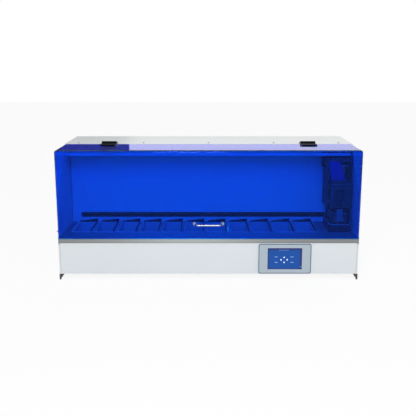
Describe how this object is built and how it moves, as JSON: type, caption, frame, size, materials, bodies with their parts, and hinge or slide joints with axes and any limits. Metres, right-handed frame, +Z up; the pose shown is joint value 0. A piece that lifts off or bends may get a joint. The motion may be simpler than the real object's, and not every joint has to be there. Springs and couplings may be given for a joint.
{
  "type": "tissue processor",
  "caption": "Linear bench tissue processor: white cabinet, row of tanks with a wax bath, belt-driven dipping tower with basket, hinged blue cover, touch display.",
  "frame": {"origin": "the middle of the footprint, on the surface that the cabinet stands on", "axes": "+X to the operator's right, +Y to the rear, +Z up; the operator stands at -Y"},
  "size_m": [1.3313, 0.583, 0.5915],
  "materials": {
    "white_paint": "satin white paint",
    "roof_strip": "satin white paint",
    "edging_rubber": "grey rubber edging",
    "deck_steel": "brushed stainless steel",
    "pot_steel": "plain stainless steel",
    "basket_coat": "dark coated sheet",
    "bright_steel": "bright steel",
    "bath_paint": "matte black paint",
    "tower_paint": "matte dark grey paint",
    "tank_plastic": "natural translucent plastic",
    "grip_plastic": "black plastic",
    "blue_acrylic": "transparent blue acrylic",
    "black_plastic": "black moulded plastic",
    "bezel_plastic": "pale grey-blue plastic",
    "screen_glass": "glossy touch screen",
    "board": "green circuit board",
    "bare_aluminium": "bare aluminium",
    "rail_steel": "ground steel",
    "motor_paint": "black painted motor",
    "belt_rubber": "black toothed belt",
    "bronze": "turned bronze"
  },
  "bodies": {
    "cabinet": {"bath_housing": "bath_paint", "bottom_pan": "white_paint", "control_board": "board", "cross_motor": "motor_paint", "cross_rail": "rail_steel", "deck": "deck_steel", "display_bezel": "bezel_plastic", "display_glass": "screen_glass", "display_module": "black_plastic", "drive_belt": "belt_rubber", "fan_frame": "black_plastic", "fan_guard": "bright_steel", "foot_edgings": "edging_rubber", "front_panel": "white_paint", "left_side_plate": "white_paint", "power_inlet": "black_plastic", "power_supply": "bare_aluminium", "pulley_brackets": "bare_aluminium", "rail_beam": "bare_aluminium", "rear_panel": "white_paint", "rear_wall": "white_paint", "right_side_plate": "white_paint", "roof_header": "roof_strip", "roof_leaves": "black_plastic", "roof_panel": "white_paint", "roof_screws": "bright_steel", "switch_body": "black_plastic", "tank_01": "tank_plastic", "tank_02": "tank_plastic", "tank_03": "tank_plastic", "tank_04": "tank_plastic", "tank_05": "tank_plastic", "tank_06": "tank_plastic", "tank_07": "tank_plastic", "tank_08": "tank_plastic", "tank_09": "tank_plastic", "tank_10": "tank_plastic", "tank_11": "tank_plastic", "tank_grips": "grip_plastic", "wax_pot": "pot_steel"},
    "cover": {"cover_shell": "blue_acrylic", "cover_handle": "bright_steel", "cover_fasteners": "bright_steel", "cover_leaves": "black_plastic"},
    "carriage": {"rail_block": "rail_steel", "slot_bridge": "bare_aluminium", "tower_channel": "tower_paint", "guide_frame": "bare_aluminium", "lift_motor": "motor_paint", "tower_brace": "bright_steel", "tower_cover": "tower_paint"},
    "lift": {"lift_slider": "bronze", "lift_arm": "bare_aluminium", "basket": "basket_coat", "basket_bail": "bright_steel"},
    "screw": {"lift_screw": "bright_steel"},
    "drive_wheel": {"drive_pulley": "bare_aluminium"},
    "idler_wheel": {"idler_pulley": "bare_aluminium"},
    "fan": {"fan_rotor": "black_plastic"},
    "rocker": {"switch_rocker": "black_plastic"}
  },
  "joints": [
    {"name": "cover_hinge", "type": "hinge", "parent": "cabinet", "child": "cover", "pos_m": [0, -0.0305, 0.585], "axis": [-1, 0, 0], "range_deg": [0, 85]},
    {"name": "carriage_travel", "type": "slide", "parent": "cabinet", "child": "carriage", "axis": [1, 0, 0], "range_m": [-1.1775, 0]},
    {"name": "lift_travel", "type": "slide", "parent": "carriage", "child": "lift", "axis": [0, 0, 1], "range_m": [-0.13, 0]},
    {"name": "screw_spin", "type": "hinge", "parent": "carriage", "child": "screw", "pos_m": [0.598, 0.0105, 0.39], "axis": [0, 0, 1], "range_deg": [-4681, 1]},
    {"name": "drive_spin", "type": "hinge", "parent": "cabinet", "child": "drive_wheel", "pos_m": [-0.628, 0.0985, 0.201], "axis": [0, 0, 1], "range_deg": [-1, 4240]},
    {"name": "idler_spin", "type": "hinge", "parent": "cabinet", "child": "idler_wheel", "pos_m": [0.632, 0.0985, 0.201], "axis": [0, 0, 1], "range_deg": [-1, 4240]},
    {"name": "fan_spin", "type": "hinge", "parent": "cabinet", "child": "fan", "pos_m": [0, 0.2685, 0.43], "axis": [0, 1, 0], "continuous": true},
    {"name": "rocker_tilt", "type": "hinge", "parent": "cabinet", "child": "rocker", "pos_m": [0.452, 0.2785, 0.09], "axis": [-1, 0, 0], "range_deg": [0, 12]}
  ],
  "couplings": [
    {"joint": "drive_spin", "follows": "carriage_travel", "rad_per_m": -62.832},
    {"joint": "idler_spin", "follows": "carriage_travel", "rad_per_m": -62.832},
    {"joint": "screw_spin", "follows": "lift_travel", "rad_per_m": 628.32}
  ]
}
